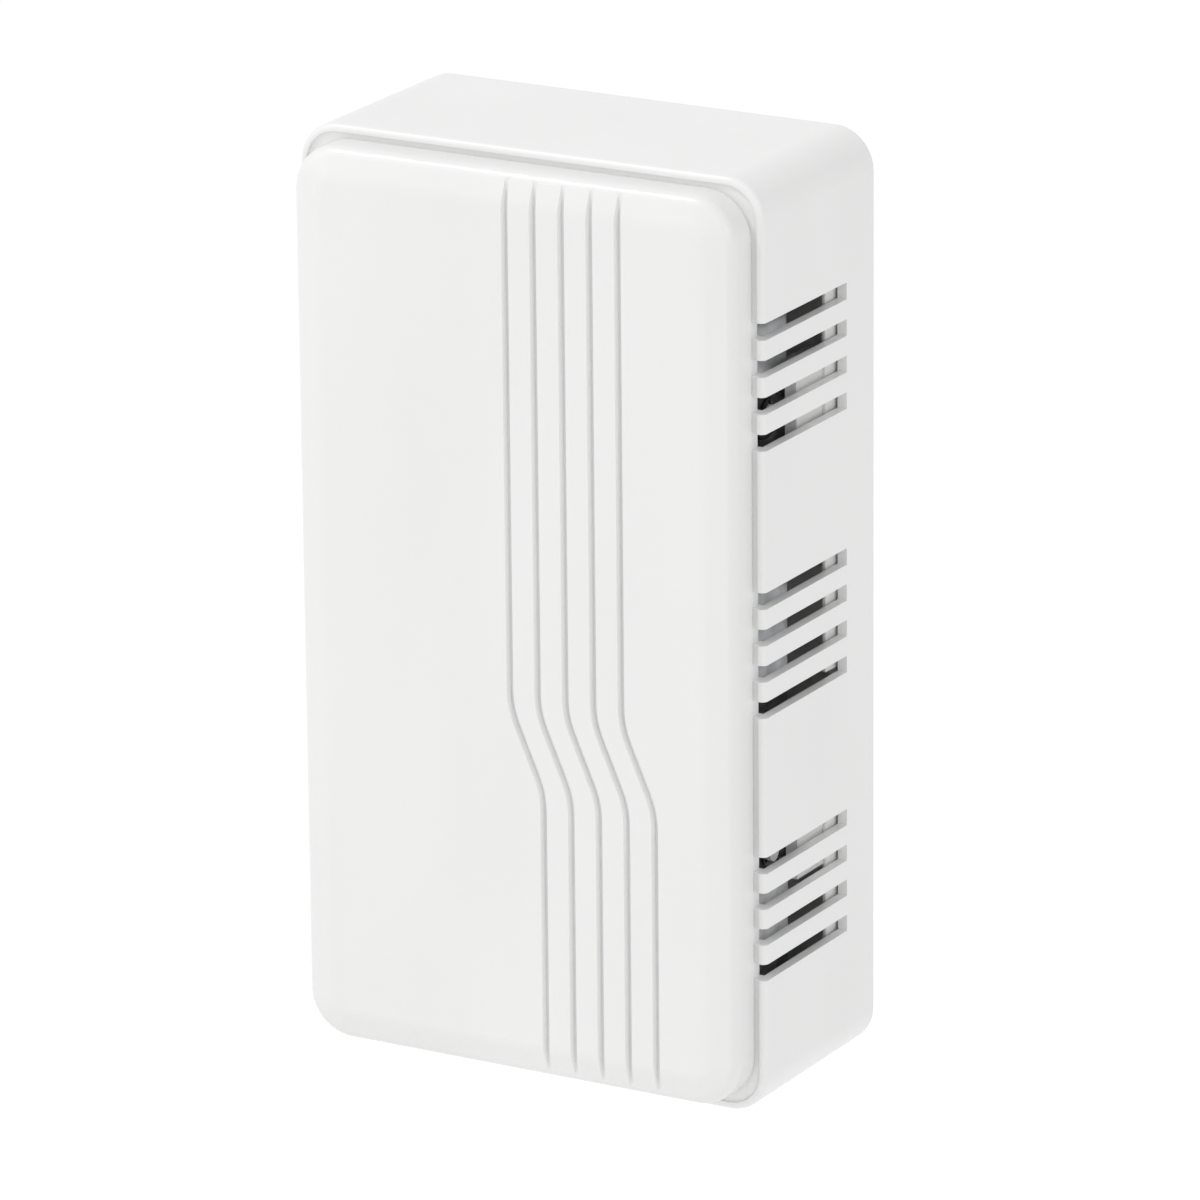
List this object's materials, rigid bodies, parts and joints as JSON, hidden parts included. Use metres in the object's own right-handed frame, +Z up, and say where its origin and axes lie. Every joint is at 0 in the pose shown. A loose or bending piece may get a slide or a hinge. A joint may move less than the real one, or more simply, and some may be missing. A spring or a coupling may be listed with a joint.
{
  "type": "doorbell chime",
  "caption": "Wall-hung two-tone doorbell chime: vented white case with a grooved pillow panel, two steel tone plates and a sprung solenoid plunger between them.",
  "frame": {"origin": "centre of the back face of the base plate, on the wall", "axes": "+X to the right seen from the room, +Y into the wall, +Z up; the panel faces -Y"},
  "size_m": [0.098, 0.051, 0.18],
  "materials": {
    "case_white": "fine satin moulded ABS",
    "panel_white": "fine satin moulded ABS",
    "base_white": "satin moulded ABS",
    "zinc_steel": "zinc-plated cold-rolled steel",
    "spring_steel": "drawn spring steel",
    "soft_iron": "turned and plated iron",
    "screw_steel": "zinc-plated screws",
    "clip_black": "blackened spring steel",
    "rubber_black": "soft moulded rubber",
    "nylon_natural": "natural nylon",
    "bobbin_black": "glass-filled nylon",
    "copper_wire": "enamelled copper winding",
    "tape_amber": "polyester film tape",
    "brass_plain": "drawn brass",
    "terminal_grey": "moulded polyamide",
    "lead_red": "PVC insulation"
  },
  "bodies": {
    "base": {"base_plate": "base_white", "cable_seal": "rubber_black", "tone_plate_low": "zinc_steel", "tone_plate_high": "zinc_steel", "grommet_low_bottom": "rubber_black", "grommet_low_top": "rubber_black", "grommet_high_bottom": "rubber_black", "grommet_high_top": "rubber_black", "peg_clips": "clip_black", "coil_bobbin": "bobbin_black", "coil_winding": "copper_wire", "coil_tape": "tape_amber", "coil_pins": "brass_plain", "guide_tube": "brass_plain", "solenoid_yoke": "zinc_steel", "yoke_screws": "screw_steel", "return_spring": "spring_steel", "terminal_block": "terminal_grey", "terminal_clamps": "brass_plain", "terminal_screws": "screw_steel", "block_screw": "screw_steel", "coil_lead_left": "lead_red", "coil_lead_right": "lead_red"},
    "cover": {"housing_cover": "case_white", "front_panel": "panel_white", "panel_clips": "clip_black"},
    "plunger": {"plunger_core": "soft_iron", "striker_left": "nylon_natural", "striker_right": "nylon_natural", "spring_washer": "screw_steel"}
  },
  "joints": [
    {"name": "cover_pull_off", "type": "slide", "parent": "base", "child": "cover", "axis": [0, -1, 0], "range_m": [0, 0.06]},
    {"name": "plunger_slide", "type": "slide", "parent": "base", "child": "plunger", "axis": [1, 0, 0], "range_m": [-0.0032, 0.0077], "stiffness_N_per_m": 80, "deforming": ["return_spring"]}
  ]
}
